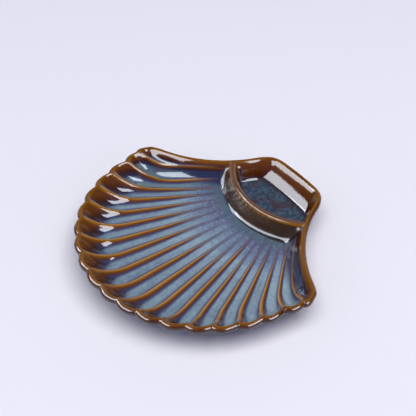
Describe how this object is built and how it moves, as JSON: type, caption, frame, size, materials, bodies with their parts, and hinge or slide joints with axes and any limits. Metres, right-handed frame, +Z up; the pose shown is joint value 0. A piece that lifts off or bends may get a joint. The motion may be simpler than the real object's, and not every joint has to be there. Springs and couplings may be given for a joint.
{
  "type": "serving platter",
  "caption": "Scallop-shell serving platter in glazed stoneware, with a fluted dish, a scalloped rim and a dip well behind a curved divider wall.",
  "frame": {"origin": "on the table, under the middle of the platter's box", "axes": "+X from ear to ear, +Y from the fan edge to the hinge and the dip well, +Z up"},
  "size_m": [0.259, 0.2424, 0.034],
  "materials": {
    "reactive_glaze": "glossy reactive glaze, slate blue in the flutes and amber brown on the ribs and the rim",
    "bare_stoneware": "unglazed fired clay, fine matt grain"
  },
  "bodies": {
    "root": {"shell_dish": "reactive_glaze", "divider_wall": "reactive_glaze", "foot_ring": "bare_stoneware"}
  },
  "joints": []
}
